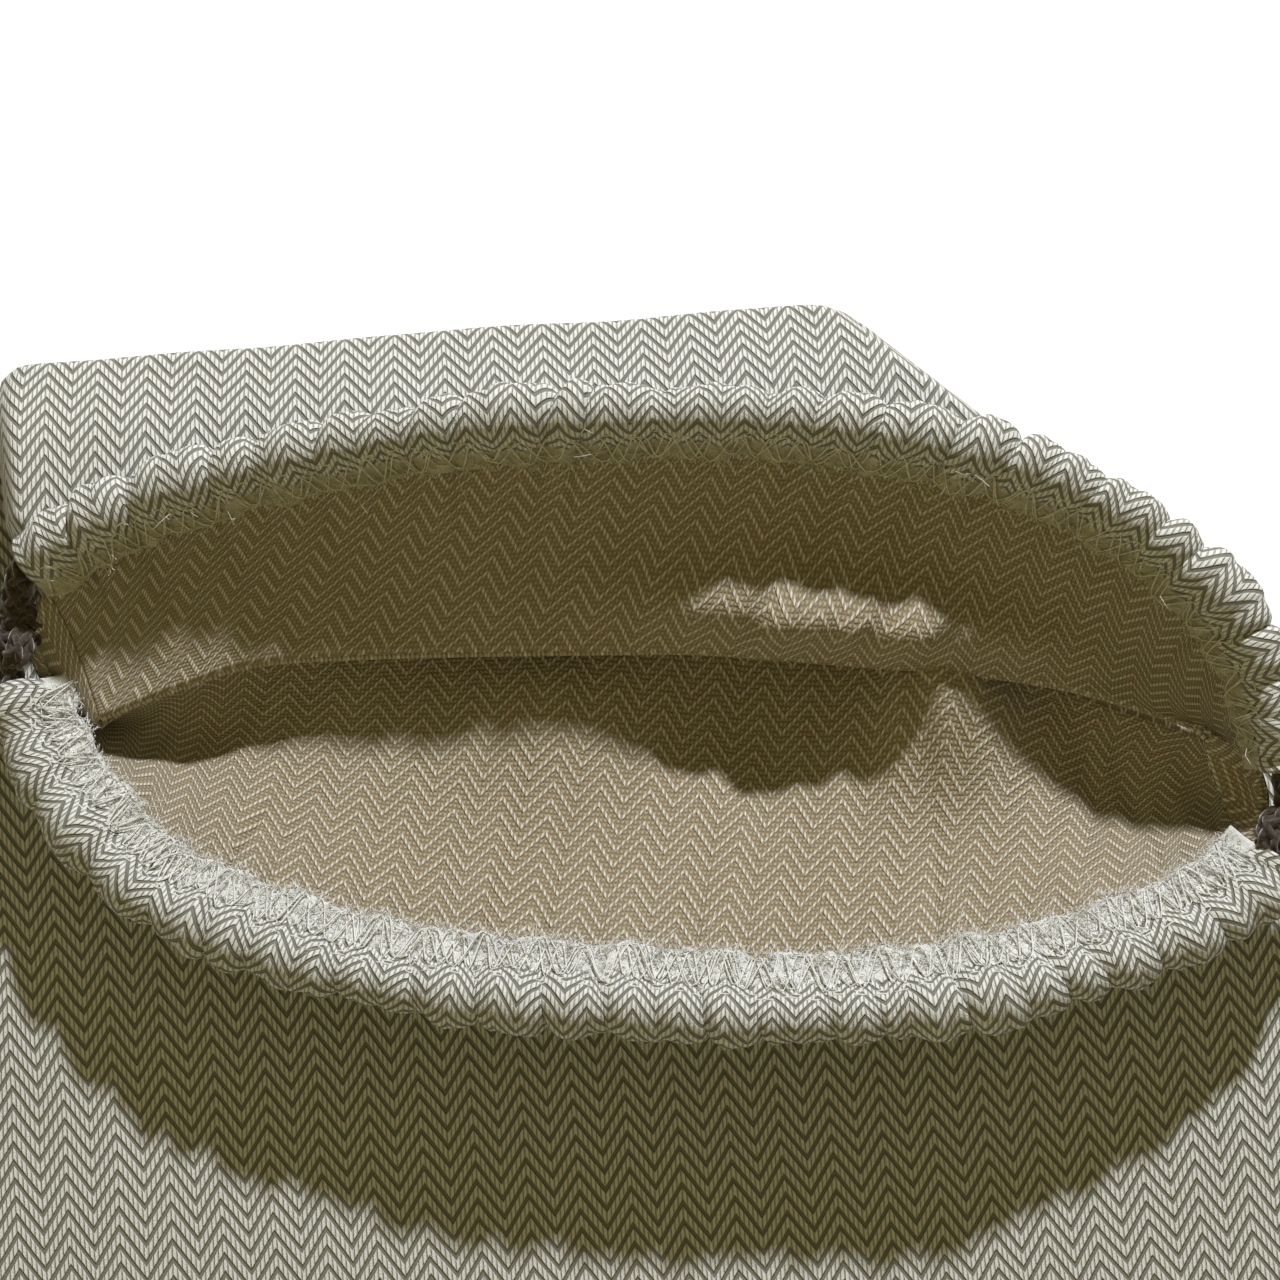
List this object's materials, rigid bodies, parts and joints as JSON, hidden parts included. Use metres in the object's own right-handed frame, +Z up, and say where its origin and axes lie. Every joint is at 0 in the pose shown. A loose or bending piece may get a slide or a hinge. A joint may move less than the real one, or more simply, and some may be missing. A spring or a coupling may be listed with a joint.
{
  "type": "drawstring pouch",
  "caption": "Herringbone cotton drawstring pouch, folded in half and lying flat, with its gathered mouth open and dark cords knotted at the mouth's corners.",
  "frame": {"origin": "middle of the folded pouch's footprint, on the surface it lies on", "axes": "+X across the pouch, +Y towards the fold, +Z up"},
  "size_m": [0.2878, 0.2103, 0.0454],
  "materials": {
    "pouch_cloth": "matte",
    "cord": "matte",
    "thread": "matte"
  },
  "bodies": {
    "pouch": {"back_panel": "pouch_cloth", "bottom_seam_allowance": "pouch_cloth", "front_casing": "pouch_cloth", "front_cord": "cord", "front_hem": "pouch_cloth", "front_hem_edge": "thread", "front_hem_stitch": "thread", "front_lip": "pouch_cloth", "front_panel": "pouch_cloth", "left_seam_allowance": "pouch_cloth", "left_side_seam": "pouch_cloth", "right_seam_allowance": "pouch_cloth", "right_side_seam": "pouch_cloth"},
    "mouth_flap": {"back_flap": "pouch_cloth", "back_casing": "pouch_cloth", "back_hem": "pouch_cloth", "back_hem_edge": "thread", "back_hem_stitch": "thread", "back_cord": "cord"},
    "left_pull": {"left_end_knot_back": "cord", "left_end_knot_front": "cord", "left_knot": "cord", "left_tail_back": "cord", "left_tail_front": "cord"},
    "right_pull": {"right_end_knot_back": "cord", "right_end_knot_front": "cord", "right_knot": "cord", "right_tail_back": "cord", "right_tail_front": "cord"}
  },
  "joints": [
    {"name": "mouth_flap_hinge", "type": "hinge", "parent": "pouch", "child": "mouth_flap", "pos_m": [0, 0.01775, 0.0175], "axis": [0.9724, -0.2334, 0], "range_deg": [0, 90]},
    {"name": "left_cord_pull", "type": "slide", "parent": "pouch", "child": "left_pull", "axis": [-0.9724, 0.2334, 0], "range_m": [0, 0.02]},
    {"name": "right_cord_pull", "type": "slide", "parent": "pouch", "child": "right_pull", "axis": [0.9724, -0.2334, 0], "range_m": [0, 0.02]}
  ]
}
